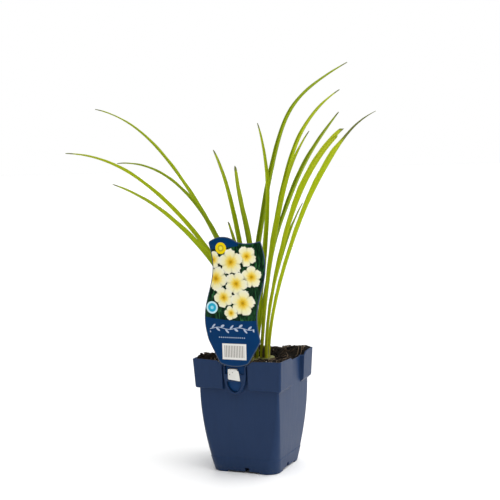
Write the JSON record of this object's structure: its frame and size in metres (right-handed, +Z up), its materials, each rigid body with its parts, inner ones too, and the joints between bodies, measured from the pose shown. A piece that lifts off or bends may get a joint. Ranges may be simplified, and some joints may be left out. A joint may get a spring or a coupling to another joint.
{
  "type": "potted daylily plant",
  "caption": "Young daylily with long arching keeled leaves in a square plastic nursery pot filled with soil, with a wavy care card hooked on the front.",
  "frame": {"origin": "centre of the pot's foot, on the ground plane", "axes": "+Z up along the pot's axis, -Y out of the pot wall that carries the care card, +X to the right when facing that wall"},
  "size_m": [0.2906, 0.1962, 0.3922],
  "materials": {
    "pot_plastic": "satin",
    "potting_soil": "matte",
    "crown_sheath": "matte",
    "label_card": "satin",
    "leaf_blade": "satin"
  },
  "bodies": {
    "root": {"pot": "pot_plastic", "soil": "potting_soil", "crown_roots": "crown_sheath", "label_card": "label_card", "leaf_left_low": "leaf_blade", "leaf_left_long": "leaf_blade", "leaf_left_dark": "leaf_blade", "leaf_left_upper": "leaf_blade", "leaf_short": "leaf_blade", "leaf_upright_left": "leaf_blade", "leaf_upright_front": "leaf_blade", "leaf_upright_middle": "leaf_blade", "leaf_tallest": "leaf_blade", "leaf_right_small": "leaf_blade", "leaf_right_back": "leaf_blade", "leaf_right_torn": "leaf_blade", "leaf_right_straight": "leaf_blade", "leaf_right_narrow": "leaf_blade", "leaf_right_outer": "leaf_blade"}
  },
  "joints": []
}
